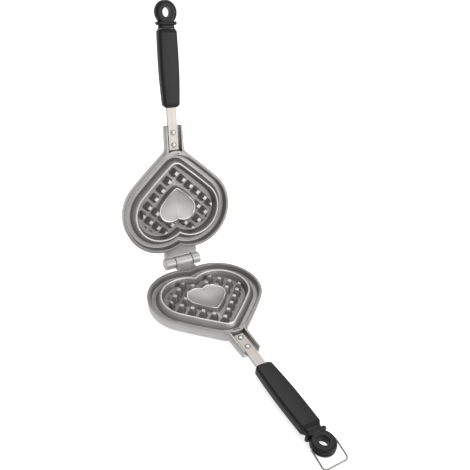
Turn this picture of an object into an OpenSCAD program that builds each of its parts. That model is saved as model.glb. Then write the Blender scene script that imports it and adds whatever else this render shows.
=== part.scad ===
// Stovetop heart waffle iron: two cast aluminium pans hinged at the lobes of the heart,
// each with a riveted steel strap, a black moulded grip and a hanging ring, and a wire bail
// that swings over both rings to hold the iron shut. Millimetres, +Z up.
// The origin is the middle of the lower pan's flat bottom, midway between the heart's lobes.
// The handles point along -Y and the hinge lies along X at +Y.

/* [Waffle heart] */
// Radius of each round lobe of the waffle cavity, at its rim
lobe_r = 37.5; // [34:0.5:41]
// Distance of each lobe's centre from the centre line
lobe_x = 22.25; // [19:0.25:25]
// Radius of the heart's tip
tip_r = 11.4; // [8:0.2:16]
// Angle between each straight side and the centre line
side_angle = 48.26; // [45:0.5:52]
// Swell of the sides beyond a straight line
side_bulge = 0.5; // [0:0.1:1.5]
// Depth of the waffle cavity below the parting face
cavity_depth = 10.5; // [9:0.25:11.5]
// How far the cavity wall draws in from rim to floor
cavity_draft = 3.2; // [2:0.1:4]

/* [Pan] */
// Depth of each pan from the parting face to its flat outside
pan_depth = 16; // [14.5:0.5:20]
// Distance from the waffle heart's edge out to the pan's outer edge
rim_reach = 17.5; // [16.5:0.25:20]
// Width of the pan's outer rim
rim_w = 4; // [3:0.25:4.5]
// Width of the thin ridge that edges the waffle
ridge_w = 2.2; // [1.8:0.1:3]
// Depth of the overflow channel between ridge and rim
moat_depth = 8.2; // [6:0.25:9]
// How far the channel's inner wall leans out from ridge to floor
moat_lean = 4.6; // [3:0.2:6]
// Radius of the channel's outer edge round the tip
moat_tip_r = 34; // [26:1:36]
// Radius of the outside bottom edge
foot_r = 4; // [2:0.5:6]
// How far the outside wall draws in from rim to foot
wall_draft = 1.4; // [0.5:0.1:2.5]
// Gap left to the parting face by each rim
face_gap = 0.1; // [0.05:0.05:0.3]

/* [Centre heart] */
// Radius of the small heart's lobes
boss_lobe_r = 15.8; // [14:0.2:17]
// Distance of its lobe centres from the centre line
boss_lobe_x = 10; // [8:0.25:12]
// Distance from the big heart's lobe line to the small heart's, towards the handle
boss_set = 2; // [0:0.5:4]
// Depth of its rim below the parting face
boss_drop = 3.4; // [2.5:0.1:5]
// Depth of the dish in its top
boss_dish = 3.2; // [1:0.2:4.5]

/* [Studs] */
// Spacing of the waffle studs along their rows
stud_pitch = 14.2; // [13:0.2:15]
// Distance from the waffle heart's tip to the first stud's centre
stud_from_tip = 14; // [12:0.5:16]
// Side of the square stud at its top
stud_top = 4.2; // [3:0.2:5.5]
// Side of the square stud at the cavity floor
stud_foot = 10.2; // [8:0.2:11.4]
// Depth of the stud tops below the parting face
stud_drop = 0.8; // [0.4:0.1:2]
// Distance from the lobes' edge to where the outermost studs are cut off
stud_margin = 9; // [8:0.2:11]

/* [Hinge] */
// Distance from the lobe line back to the hinge axis
hinge_back = 72.8; // [69:0.2:80]
// Radius of the hinge barrel
barrel_r = 8; // [6.5:0.25:8.5]
// Overall width of the hinge barrel
barrel_w = 52; // [44:1:60]
// Width of the lower pan's middle knuckle
knuckle_w = 24.5; // [16:0.5:28]
// How far the middle knuckle sits to the right of the centre line
knuckle_shift = 1.2; // [0:0.2:2]
// Half the width of the upper pan's hinge tab
tab_half = 23; // [20:0.5:24]
// Radius of the hinge pin
pin_r = 2.5; // [2:0.1:3.5]
// Angle from shut to fully open
open_angle = 102; // [92:1:110]

/* [Strap and socket] */
// Width of the steel strap
strap_w = 12.7; // [11:0.1:14]
// Thickness of the steel strap
strap_t = 3.2; // [2.5:0.1:3.5]
// Depth of the strap's face below the parting face
strap_drop = 4.4; // [4:0.1:4.8]
// Distance from the lobe line to the start of the strap's channel
channel_start = 82.7; // [82.5:0.1:88]
// Length of the cast socket beyond the start of the channel
socket_len = 32.2; // [30:0.5:40]
// Clearance on each side of the strap in its channel
strap_side_gap = 3.2; // [0.5:0.1:3.6]
// Thickness of the socket's side walls
socket_wall = 2; // [1.6:0.1:3.5]
// Extra half width of the socket where it meets the pan
socket_flare = 0.8; // [0:0.1:1.5]
// Depth of the socket below the parting face
socket_depth = 10.2; // [9.2:0.1:11.5]
// Distance from the start of the channel to the first rivet
rivet_set = 7.2; // [6.5:0.1:9]
// Spacing of the two rivets
rivet_pitch = 15.9; // [12:0.1:18]
// Radius of the rivet shanks
rivet_r = 1.6; // [1.2:0.1:2]
// Radius of the rivet heads
rivet_head_r = 3.5; // [2.8:0.1:4]

/* [Handle] */
// Length of bare strap between socket and grip
bare_len = 22.5; // [15:0.5:40]
// Length of the grip
grip_len = 91.5; // [75:0.5:110]
// Width of the grip at its middle
grip_w = 25.2; // [22:0.2:28]
// Thickness of the grip
grip_t = 12.6; // [11:0.2:13]
// Width of the grip at its front end
grip_front_w = 21.4; // [19:0.2:24]
// Radius of the grip's long edges
grip_edge = 3.6; // [2.5:0.1:5]
// Depth of the handle's middle below the parting face
handle_drop = 6.6; // [6.6:0.1:8]
// Width of the strap's tail inside the grip
tail_w = 9.5; // [8:0.1:11]

/* [Hanging ring] */
// Outer radius of the ring
ring_r = 13.5; // [12.5:0.1:15]
// Radius of the hanging hole
hole_r = 5.6; // [4:0.1:6.5]
// Thickness of the ring
ring_t = 10; // [8:0.2:11]
// Distance from the grip's end to the centre of the hanging hole
ring_set = 18.3; // [17.6:0.1:22]
// Width of the bead between grip and ring
bead_w = 25.4; // [22:0.2:27]
// Thickness of the bead between grip and ring
bead_t = 12.4; // [10:0.2:13]

/* [Bail] */
// Radius of the bail's wire
wire_r = 0.9; // [0.7:0.05:1.2]
// Distance from the bail's pivot to its crossbar
bail_len = 22.7; // [22.5:0.1:30]
// Clearance between the bail's legs and the ring
bail_gap = 0.5; // [0.3:0.1:1.5]
// Radius of the bail's two bends
bail_bend = 4; // [2.5:0.5:6]
// Angle that the bail hangs below the lower handle at rest
bail_hang = 11.7; // [5:0.1:20]

/* [Hidden] */
$fn = 48;

// Running and seating clearances
pin_gap = 0.05;
knuckle_gap = 0.5;
slot_gap = 0.1;
seat_gap = 0.1;
tab_gap = 1.6;
stop_gap = 0.15;

// Steps along each lobe, side and half tip of a heart outline
lobe_steps = 19;
side_steps = 4;
tip_steps = 4;

aluminium = [0.69, 0.68, 0.66];
steel = [0.78, 0.76, 0.74];
phenolic = [0.13, 0.13, 0.13];

// A heart is [lobe radius, lobe offset, tip radius, side angle, side bulge, shift along Y]
big_heart = [lobe_r, lobe_x, tip_r, side_angle, side_bulge, 0];
boss_heart = [boss_lobe_r, boss_lobe_x, 3, side_angle - 1, 1.3, -boss_set];

function side_reach(h) = h[1] * cos(h[3]) + h[0];
function tip_centre(h) = -(side_reach(h) - h[2]) / sin(h[3]);
function tip_end(h) = h[5] + tip_centre(h) - h[2];

// Same heart grown outwards by d, with every arc kept concentric
function grown(h, d) = [h[0] + d, h[1], h[2] + d, h[3], h[4], h[5]];
// Same heart with another radius round its tip
function blunted(h, r) = [h[0], h[1], r, h[3], h[4], h[5]];

// Right half of a heart from the notch down to the tip
function half_heart(h) =
    let (
        notch = acos(-h[1] / h[0]),
        n = [cos(h[3]), -sin(h[3])],
        from = [h[1], 0] + h[0] * n,
        to = [0, tip_centre(h)] + h[2] * n
    )
    concat(
        [for (i = [0 : lobe_steps])
            let (t = notch + (-h[3] - notch) * i / lobe_steps)
            [h[1] + h[0] * cos(t), h[0] * sin(t) + h[5]]],
        [for (i = [1 : side_steps - 1])
            let (s = i / side_steps)
            from + (to - from) * s + n * h[4] * sin(180 * s) + [0, h[5]]],
        [for (i = [0 : tip_steps])
            let (t = -h[3] + (h[3] - 90) * i / tip_steps)
            [h[2] * cos(t), tip_centre(h) + h[2] * sin(t) + h[5]]]
    );

// Whole heart, anticlockwise from the notch
function heart(h) =
    let (half = half_heart(h), last = len(half) - 1)
    concat(
        [for (i = [0 : last]) [i == 0 || i == last ? 0 : -half[i][0], half[i][1]]],
        [for (i = [last - 1 : -1 : 1]) half[i]]
    );

function raised(outline, z) = [for (p = outline) [p[0], p[1], z]];
function shrunk(outline, centre, s) = [for (p = outline) centre + (p - centre) * s];

// Points of an arc of radius r about c, from angle a to angle b
function arc(c, r, a, b, steps) =
    [for (i = [0 : steps]) let (t = a + (b - a) * i / steps) c + r * [cos(t), sin(t)]];

// Closed skin over rings of equal count, from a low centre point to a high one
module skin(rings, low, high) {
    n = len(rings[0]);
    m = len(rings);
    points = concat([low], [for (ring = rings) each ring], [high]);
    last = n * m + 1;
    polyhedron(points, concat(
        [for (j = [0 : n - 1]) [0, 1 + j, 1 + (j + 1) % n]],
        [for (i = [0 : m - 2], j = [0 : n - 1])
            let (a = 1 + i * n + j, b = 1 + i * n + (j + 1) % n)
            [a, a + n, b + n]],
        [for (i = [0 : m - 2], j = [0 : n - 1])
            let (a = 1 + i * n + j, b = 1 + i * n + (j + 1) % n)
            [a, b + n, b]],
        [for (j = [0 : n - 1]) [last, 1 + (m - 1) * n + (j + 1) % n, 1 + (m - 1) * n + j]]
    ));
}

// Each pan is drawn as the lower one, with the parting face at z = 0 and the lobe line at y = 0
module as_lower() {
    translate([0, 0, pan_depth]) children();
}

// The upper pan is the same casting turned over and swung back about the hinge
module as_upper() {
    translate([0, hinge_back, pan_depth])
        rotate([-open_angle, 0, 0])
            translate([0, -hinge_back, 0])
                rotate([0, 180, 0])
                    children();
}

edge_r = 0.9;
moat_fillet = 1.1;
cavity_fillet = 1.2;

// Section of the pan as [distance outside the waffle heart, height], from foot to cavity floor
foot_out = rim_reach - wall_draft;
rim_in = rim_reach - rim_w;
moat_out = rim_in - 1;
moat_in = ridge_w / 2 + moat_lean;
ridge_half = ridge_w / 2;
outer_section = concat(
    arc([foot_out - foot_r, foot_r - pan_depth], foot_r, -90, 0, 4),
    arc([rim_reach - edge_r, -face_gap - edge_r], edge_r, 0, 90, 2)
);
rim_section = concat(
    arc([rim_in + edge_r, -face_gap - edge_r], edge_r, 90, 180, 2),
    arc([moat_out - moat_fillet, moat_fillet - moat_depth], moat_fillet, 0, -90, 2)
);
ridge_section = concat(
    arc([moat_in + moat_fillet, moat_fillet - moat_depth], moat_fillet, -90, -150, 2),
    arc([0, -face_gap - ridge_half], ridge_half, 30, 160, 4),
    arc([-cavity_draft - cavity_fillet - ridge_half / 2, cavity_fillet - cavity_depth],
        cavity_fillet, -10, -90, 2)
);
boss_foot = 2.1;
boss_fillet = 0.5;
boss_round = 0.6;
boss_section = [
    [boss_foot + boss_fillet, -cavity_depth],
    [boss_foot, boss_round - cavity_depth],
    [boss_fillet, -boss_drop - boss_round],
    [0.1, -boss_drop],
    [-boss_round, -boss_drop - 0.1]
];
dish_scales = [0.9, 0.75, 0.5, 0.25];

boss_centre = [0, -boss_set - boss_lobe_r / 2];

module pan_shell() {
    boss_rim = heart(grown(boss_heart, -boss_round));
    rings = concat(
        [for (p = outer_section) raised(heart(grown(big_heart, p[0])), p[1])],
        [for (p = rim_section)
            raised(heart(blunted(grown(big_heart, p[0]), moat_tip_r - rim_in + p[0])), p[1])],
        [for (p = ridge_section) raised(heart(grown(big_heart, p[0])), p[1])],
        [for (p = boss_section) raised(heart(grown(boss_heart, p[0])), p[1])],
        [for (s = dish_scales)
            raised(shrunk(boss_rim, boss_centre, s), -boss_drop - boss_dish * sqrt(1 - s * s))]
    );
    skin(rings,
        [0, boss_centre[1], -pan_depth],
        [0, boss_centre[1], -boss_drop - boss_dish]);
}

// Studs stand on a square grid turned 45 degrees, its first corner near the heart's tip
grid_step = stud_pitch / sqrt(2);
first_stud = tip_end(big_heart) + stud_from_tip;

// How far a point lies outside a heart's round lobe or straight side
function outside(p, h) =
    let (x = abs(p[0]), y = p[1] - h[5], reach = side_reach(h))
    (x - h[1]) * sin(h[3]) + y * cos(h[3]) < 0
        ? x * cos(h[3]) - y * sin(h[3]) - reach
        : norm([x - h[1], y]) - h[0];

// Studs are rooted a little way below the cavity floor. Those that would stand on the centre
// heart are left out, but for the two behind its lobes, which are cut off level with its rim
stud_root = 0.6;
stud_sunk = 2;
boss_clear = 0.4;
function stud_limit(p) = p[1] > -boss_set ? -stud_sunk : 0;

// The cut that ends the outermost studs follows the lobes and runs clear of the straight sides
side_relief = 2;
stud_heart = [lobe_r - stud_margin, lobe_x, 1, side_angle, side_relief, 0];

module studs() {
    for (i = [0 : 7], j = [0 : 7]) {
        p = [grid_step * (i - j), first_stud + grid_step * (i + j)];
        if (outside(p, big_heart) < -cavity_draft && outside(p, boss_heart) > stud_limit(p))
            translate([p[0], p[1], -cavity_depth - stud_root])
                cylinder(h = cavity_depth + stud_root - stud_drop,
                    r1 = (stud_foot + stud_root / 2) / sqrt(2), r2 = stud_top / sqrt(2), $fn = 4);
    }
}

module clipped_studs() {
    difference() {
        intersection() {
            studs();
            translate([0, 0, -cavity_depth - stud_root])
                linear_extrude(height = cavity_depth + stud_root)
                    polygon(heart(stud_heart));
        }
        // Cut level with the centre heart's rim, and right through inside it
        for (cut = [[boss_clear, boss_drop + boss_clear], [-boss_round / 2, cavity_depth + 1]])
            translate([0, 0, -cut[1]])
                linear_extrude(height = cut[1])
                    polygon(heart(grown(boss_heart, cut[0])));
    }
}

// The socket that takes the strap runs out from the tip between two filleted flanks
socket_half = strap_w / 2 + strap_side_gap + socket_wall;
channel_half = strap_w / 2 + strap_side_gap;
socket_end = channel_start + socket_len;
socket_fillet = 10;
tip_y = tip_centre(big_heart);
outer_tip_r = tip_r + rim_reach;
fillet_reach = outer_tip_r + socket_fillet;
fillet_x = socket_half + socket_flare + socket_fillet;
fillet_y = tip_y - sqrt(fillet_reach * fillet_reach - fillet_x * fillet_x);
fillet_turn = acos(fillet_x / fillet_reach);
root_set = 1.2;
rooted_r = outer_tip_r - root_set;
socket_corner = 1.6;

module socket_outline() {
    flank = concat(
        arc([socket_half - socket_corner, socket_corner - socket_end], socket_corner, -90, 0, 3),
        arc([fillet_x, fillet_y], socket_fillet, 180, 180 - fillet_turn, 5),
        arc([0, tip_y], rooted_r, -fillet_turn, -90, 5)
    );
    polygon(concat(flank, [for (i = [len(flank) - 2 : -1 : 0]) [-flank[i][0], flank[i][1]]]));
}

module socket_body() {
    translate([0, 0, -socket_depth])
        linear_extrude(height = socket_depth - face_gap)
            socket_outline();
}

strap_floor = strap_drop + strap_t;
front_rivet = channel_start + rivet_set;
rear_rivet = front_rivet + rivet_pitch;

// The channel's front wall curves about the tip's centre, and so does the recess ahead of it
front_r = channel_start + tip_y;
front_turn = asin(channel_half / front_r);
recess_set = 3.3;
recess_turn = 8.5;
recess_r = 1.3;
recess_depth = 1.3;

module channel_outline() {
    polygon(concat(
        [[-channel_half, -socket_end - 1], [channel_half, -socket_end - 1]],
        arc([0, tip_y], front_r, front_turn - 90, -front_turn - 90, 6)
    ));
}

module recess_outline() {
    mid_r = front_r - recess_set;
    polygon(concat(
        arc([0, tip_y], mid_r + recess_r, -recess_turn - 90, recess_turn - 90, 6),
        arc([0, tip_y] + mid_r * [sin(recess_turn), -cos(recess_turn)], recess_r,
            recess_turn - 70, recess_turn + 70, 4),
        arc([0, tip_y], mid_r - recess_r, recess_turn - 90, -recess_turn - 90, 6),
        arc([0, tip_y] + mid_r * [-sin(recess_turn), -cos(recess_turn)], recess_r,
            110 - recess_turn, 250 - recess_turn, 4)
    ));
}

module socket_cuts() {
    translate([0, 0, -strap_floor])
        linear_extrude(height = strap_floor + 1)
            channel_outline();
    for (y = [front_rivet, rear_rivet])
        translate([0, -y, -socket_depth - 1])
            cylinder(h = socket_depth, r = rivet_r + seat_gap / 2);
    translate([0, 0, -recess_depth])
        linear_extrude(height = recess_depth + 1)
            recess_outline();
}

// Hinge knuckles lie along X about the hinge axis, joined to the pan by a flat tab
left_gap = knuckle_shift - knuckle_w / 2;
right_gap = knuckle_shift + knuckle_w / 2;
tab_drop = 0.6;
tab_edge = hinge_back - barrel_r - tab_gap;
tab_rooted = lobe_r + rim_reach - 2 * edge_r;

// Back edge of the pan, where the tab is rooted in the rim
function rim_back(x) = sqrt(tab_rooted * tab_rooted - pow(abs(x) - lobe_x, 2));

module barrel(from, to) {
    translate([from, hinge_back, 0])
        rotate([0, 90, 0])
            rotate_extrude()
                polygon(concat(
                    [[0, 0]],
                    arc([barrel_r - edge_r, edge_r], edge_r, -90, 0, 2),
                    arc([barrel_r - edge_r, to - from - edge_r], edge_r, 0, 90, 2),
                    [[0, to - from]]
                ));
}

module tab(from, to, edge) {
    translate([0, 0, -barrel_r])
        linear_extrude(height = barrel_r - tab_drop)
            polygon(concat(
                [for (i = [0 : 12]) let (x = from + (to - from) * i / 12) [x, rim_back(x)]],
                [[to, edge], [from, edge]]
            ));
}

// The bore is blind: it stops in a wall at the far end of the barrel
bore_wall = 3.75;
pin_end_gap = 0.3;
pin_set = 0.5;
pin_chamfer = 0.4;

module pin_bore() {
    translate([bore_wall - barrel_w / 2, hinge_back, 0])
        rotate([0, 90, 0])
            cylinder(h = barrel_w, r = pin_r + pin_gap);
}

module casting() {
    pan_shell();
    clipped_studs();
    socket_body();
}

// Heel on the back of the middle knuckle, where the raised tab's edge comes to rest
heel_set = 2.5;

module stop_heel() {
    along = [cos(open_angle - 90), -sin(open_angle - 90)];
    square_to = [sin(open_angle - 90), cos(open_angle - 90)];
    top = square_to * (barrel_r + tab_gap - stop_gap);
    translate([left_gap, hinge_back, 0])
        rotate([90, 0, 90])
            linear_extrude(height = knuckle_w)
                polygon([[0, 0], top + along * heel_set, top + along * barrel_r,
                    [barrel_r - edge_r / 2, -edge_r]]);
}

module lower_plate() {
    color(aluminium) as_lower() difference() {
        union() {
            casting();
            tab(left_gap, right_gap, hinge_back);
            barrel(left_gap, right_gap);
            stop_heel();
        }
        socket_cuts();
        pin_bore();
    }
}

module upper_plate() {
    left = left_gap - knuckle_gap;
    right = right_gap + knuckle_gap;
    color(aluminium) as_upper() difference() {
        union() {
            casting();
            tab(-tab_half, tab_half, tab_edge);
            mirror([1, 0, 0]) {
                tab(-tab_half, left, hinge_back);
                tab(right, tab_half, hinge_back);
                barrel(-barrel_w / 2, left);
                barrel(right, barrel_w / 2);
            }
        }
        socket_cuts();
        mirror([1, 0, 0]) pin_bore();
    }
}

module hinge_pin() {
    length = barrel_w - bore_wall - pin_end_gap - pin_set;
    color(steel) as_lower()
        translate([barrel_w / 2 - pin_set - length, hinge_back, 0])
            rotate([0, 90, 0])
                rotate_extrude()
                    polygon([[0, 0], [pin_r - pin_chamfer, 0], [pin_r, pin_chamfer],
                        [pin_r, length - pin_chamfer], [pin_r - pin_chamfer, length], [0, length]]);
}

// The strap lies in the socket, dips a little past it and runs through the grip into the ring
strap_end_gap = 0.8;
strap_bend = 2;
tail_wall = 2.4;
grip_start = socket_end + bare_len;
grip_end = grip_start + grip_len;
ring_y = grip_end + ring_set;
strap_start = channel_start + strap_end_gap;
tail_top = handle_drop - strap_t / 2;
tail_end = ring_y - hole_r - tail_wall;

module strap() {
    difference() {
        rotate([90, 0, 90])
            translate([0, 0, -strap_w / 2])
                linear_extrude(height = strap_w)
                    polygon([
                        [-strap_start, -strap_drop], [-socket_end - strap_bend, -strap_drop],
                        [-grip_start + strap_bend, -tail_top], [-tail_end, -tail_top],
                        [-tail_end, -tail_top - strap_t],
                        [-grip_start + strap_bend, -tail_top - strap_t],
                        [-socket_end - strap_bend, -strap_floor], [-strap_start, -strap_floor]
                    ]);
        for (y = [front_rivet, rear_rivet])
            translate([0, -y, -strap_floor - 1])
                cylinder(h = strap_t + 2, r = rivet_r + seat_gap / 2);
        for (side = [-1, 1])
            translate([side * (tail_w + strap_w) / 2, -(grip_start + tail_end) / 2, -handle_drop])
                cube([strap_w, tail_end - grip_start + 0.01, strap_t + 2], center = true);
    }
}

module lower_strap() {
    color(steel) as_lower() strap();
}

module upper_strap() {
    color(steel) as_upper() strap();
}

// Domed head on the strap, shank through strap and socket floor, flatter head underneath
rivet_dome = 1.9;
rivet_land = 0.3;
rivet_tail = 1.3;
tail_chamfer = 0.6;

module rivet(y) {
    grip = socket_depth - strap_drop;
    shank = rivet_r;
    translate([0, -y, -socket_depth])
        rotate_extrude()
            polygon(concat(
                [[0, -rivet_tail], [rivet_head_r - 2 * tail_chamfer, -rivet_tail],
                    [rivet_head_r - tail_chamfer / 2, tail_chamfer - rivet_tail],
                    [rivet_head_r - tail_chamfer / 3, 0],
                    [shank, 0], [shank, grip], [rivet_head_r, grip]],
                [for (i = [1 : 5])
                    let (t = 90 * i / 5)
                    [rivet_head_r * cos(t),
                        grip + rivet_land + (rivet_dome - rivet_land) * sin(t)]]
            ));
}

module lower_front_rivet() {
    color(steel) as_lower() rivet(front_rivet);
}

module lower_rear_rivet() {
    color(steel) as_lower() rivet(rear_rivet);
}

module upper_front_rivet() {
    color(steel) as_upper() rivet(front_rivet);
}

module upper_rear_rivet() {
    color(steel) as_upper() rivet(rear_rivet);
}

// Rounded rectangle in the XZ plane, as half width, half thickness and corner radius
corner_steps = 4;
function rounded(y, w, t, r) =
    [for (q = [0 : 3], i = [0 : corner_steps])
        let (
            a = 90 * q + 90 * i / corner_steps,
            sx = q == 0 || q == 3 ? 1 : -1,
            sz = q < 2 ? 1 : -1
        )
        [sx * (w - r) + r * cos(a), -y, sz * (t - r) + r * sin(a) - handle_drop]];

// Skin over sections given as [distance along the handle, half width, half thickness, radius]
module handle_skin(sections) {
    last = len(sections) - 1;
    skin([for (s = sections) rounded(s[0], s[1], s[2], s[3])],
        [0, -sections[0][0], -handle_drop],
        [0, -sections[last][0], -handle_drop]);
}

module tail_slot(from, to, gap) {
    translate([0, -(from + to) / 2, -handle_drop])
        cube([tail_w + 2 * gap, to - from, strap_t + 2 * gap], center = true);
}

// Half width of the grip, which swells from its front end to its middle and back
grip_fall = 1.4;
grip_rear_w = grip_w - grip_fall;
grip_chamfer = 3;
function grip_half(s) =
    s < 0.55
        ? (grip_front_w + (grip_w - grip_front_w) * sin(90 * s / 0.55)) / 2
        : (grip_rear_w + (grip_w - grip_rear_w) * cos(90 * (s - 0.55) / 0.45)) / 2;

module grip() {
    c = grip_chamfer;
    difference() {
        handle_skin(concat(
            [[grip_start, grip_half(0) - c, (grip_t - 1.5 * c) / 2, grip_edge - 0.4 * c],
                [grip_start + c / 4, grip_half(0) - c / 2, (grip_t - 0.75 * c) / 2,
                    grip_edge - 0.2 * c],
                [grip_start + c, grip_half(c / grip_len), (grip_t - c / 4) / 2, grip_edge]],
            [for (i = [1 : 8])
                let (s = i / 9)
                [grip_start + s * grip_len, grip_half(s), grip_t / 2, grip_edge]],
            [[grip_end - 0.7 * c, grip_half(1), grip_t / 2 - 0.2, grip_edge],
                [grip_end - 0.2 * c, grip_half(1) - c / 4, grip_t / 2 - c / 4, grip_edge - 0.1 * c],
                [grip_end, grip_half(1) - 0.7 * c, (grip_t - c) / 2, grip_edge - 0.25 * c]]
        ));
        tail_slot(grip_start - 1, grip_end + 1, slot_gap);
    }
}

module lower_grip() {
    color(phenolic) as_lower() grip();
}

module upper_grip() {
    color(phenolic) as_upper() grip();
}

// Neck and bead that meet the grip's end, and the thick round-edged ring beyond them
neck_len = 4.3;
neck_step = 0.8;
neck_edge = 3.6;
bead_len = 3.7;
bead_edge = 4.4;
shoulder = 4;
shoulder_set = 0.6;
ring_edge = 3.2;
hole_lead = 0.6;

module end_ring() {
    bead = grip_end + seat_gap + neck_len;
    neck = [bead_w / 2 - 3, bead_t / 2 - 2 * neck_step];
    back = [ring_r - shoulder, (ring_t - neck_step) / 2, neck_edge - 0.2];
    difference() {
        union() {
            handle_skin(concat(
                [[grip_end + seat_gap, neck[0] + neck_step, neck[1], neck_edge],
                    [bead - 0.7 * neck_len, neck[0], neck[1], neck_edge],
                    [bead - 0.1 * neck_len, neck[0], neck[1], neck_edge]],
                [for (p = arc([0, 0], bead_len / 2, 180, 0, 6))
                    [bead + bead_len / 2 + p[0], bead_w / 2 - bead_len / 2 + p[1],
                        bead_t / 2 - bead_len / 2 + p[1], bead_edge]],
                [concat(bead + bead_len + shoulder_set, back), concat(ring_y - hole_r - 1, back)]
            ));
            translate([0, -ring_y, -handle_drop])
                rotate_extrude($fn = 64)
                    polygon(concat(
                        [[hole_r - 1, hole_lead - ring_t / 2], [hole_r, hole_lead - ring_t / 2],
                            [hole_r + hole_lead, -ring_t / 2]],
                        arc([ring_r - ring_edge, ring_edge - ring_t / 2], ring_edge, -90, 0, 3),
                        arc([ring_r - ring_edge, ring_t / 2 - ring_edge], ring_edge, 0, 90, 3),
                        [[hole_r + hole_lead, ring_t / 2], [hole_r, ring_t / 2 - hole_lead],
                            [hole_r - 1, ring_t / 2 - hole_lead]]
                    ));
        }
        translate([0, -ring_y, -handle_drop])
            cylinder(h = ring_t + 4, r = hole_r, center = true, $fn = 64);
        tail_slot(grip_end - 1, tail_end + slot_gap, slot_gap);
    }
}

// Depth of the two pivot bores, and the room that the bail's ends leave in them
pivot_depth = 4.4;
pivot_end_gap = 0.4;

module lower_end_ring() {
    color(phenolic) as_lower() difference() {
        end_ring();
        for (side = [-1, 1])
            translate([side * ring_r, -ring_y, -handle_drop])
                rotate([0, 90, 0])
                    cylinder(h = 2 * pivot_depth, r = wire_r + pin_gap, center = true, $fn = 24);
    }
}

module upper_end_ring() {
    color(phenolic) as_upper() end_ring();
}

// Wire bail: ends turned into the ring's sides, two legs, two bends and a crossbar
bail_half = ring_r + bail_gap + wire_r;
elbow = 1.6;

module wire(length) {
    cylinder(h = length, r = wire_r, $fn = 24);
}

module bail_half_shape() {
    end_x = ring_r - pivot_depth + pivot_end_gap;
    translate([end_x, 0, 0])
        rotate([0, 90, 0])
            wire(bail_half - elbow - end_x);
    translate([bail_half - elbow, -elbow, 0])
        rotate_extrude(angle = 90, $fn = 24)
            translate([elbow, 0])
                circle(r = wire_r, $fn = 24);
    translate([bail_half, -elbow, 0])
        rotate([90, 0, 0])
            wire(bail_len - bail_bend - elbow);
    translate([bail_half - bail_bend, bail_bend - bail_len, 0])
        rotate([0, 0, -90])
            rotate_extrude(angle = 90, $fn = 24)
                translate([bail_bend, 0])
                    circle(r = wire_r, $fn = 24);
    translate([0, -bail_len, 0])
        rotate([0, 90, 0])
            wire(bail_half - bail_bend);
}

module latch_bail() {
    color(steel) as_lower()
        translate([0, -ring_y, -handle_drop])
            rotate([bail_hang, 0, 0]) {
                bail_half_shape();
                mirror([1, 0, 0]) bail_half_shape();
            }
}

lower_plate();
upper_plate();
hinge_pin();
lower_strap();
upper_strap();
lower_front_rivet();
lower_rear_rivet();
upper_front_rivet();
upper_rear_rivet();
lower_grip();
upper_grip();
lower_end_ring();
upper_end_ring();
latch_bail();
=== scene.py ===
import bpy
import numpy as np
from mathutils import Matrix, Vector


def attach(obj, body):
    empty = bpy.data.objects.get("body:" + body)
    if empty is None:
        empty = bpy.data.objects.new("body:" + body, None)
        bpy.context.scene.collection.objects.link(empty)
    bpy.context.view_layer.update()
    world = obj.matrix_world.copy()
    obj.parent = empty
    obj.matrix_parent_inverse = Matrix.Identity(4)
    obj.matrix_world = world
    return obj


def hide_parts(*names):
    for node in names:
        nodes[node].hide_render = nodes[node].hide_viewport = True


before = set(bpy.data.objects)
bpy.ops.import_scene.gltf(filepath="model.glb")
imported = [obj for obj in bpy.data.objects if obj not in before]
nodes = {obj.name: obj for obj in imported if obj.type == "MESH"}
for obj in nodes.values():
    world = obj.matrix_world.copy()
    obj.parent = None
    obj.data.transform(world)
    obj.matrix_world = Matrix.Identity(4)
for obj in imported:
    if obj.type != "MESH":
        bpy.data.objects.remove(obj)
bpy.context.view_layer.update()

# The two pans are the same aluminium casting but for their hinges: a flat-bottomed tray with an
# overflow channel round a thin ridge, and inside the ridge the waffle heart with its studs and
# a small dished heart. They are worked in millimetres, parting face up, at height 0.
MM = 0.001
PAN_DEPTH, HINGE_BACK, OPEN_ANGLE = 16.0, 72.8, 102.0
WAFFLE_HEART = dict(lobe=37.5, apart=22.25, tip=11.4, lean=48.26, swell=0.5, set_back=0.0)
CENTRE_HEART = dict(lobe=15.8, apart=10.0, tip=3.0, lean=47.26, swell=1.3, set_back=-2.0)
RIM_REACH, RIM_INNER, MOAT_OUTER, MOAT_INNER = 17.5, 13.5, 12.5, 5.7
MOAT_DEPTH, CAVITY_DEPTH, RIDGE_HALF, MOAT_TIP_R = 8.2, 10.5, 1.1, 34.0
FACE_GAP, EDGE_R, FOOT_R, WALL_DRAFT, CAVITY_DRAFT = 0.1, 0.9, 4.0, 1.4, 3.2
MOAT_FILLET, RIDGE_FILLET, CAVITY_FILLET, CAVITY_FOOT = 1.6, 1.4, 1.4, -4.95


def arc(cx, cz, r, start, stop, steps):
    """Points at radius r about (cx, cz), turned evenly from start to stop degrees."""
    a = np.radians(np.linspace(start, stop, steps + 1))
    return np.stack([cx + r * np.cos(a), cz + r * np.sin(a)], axis=1)


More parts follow.
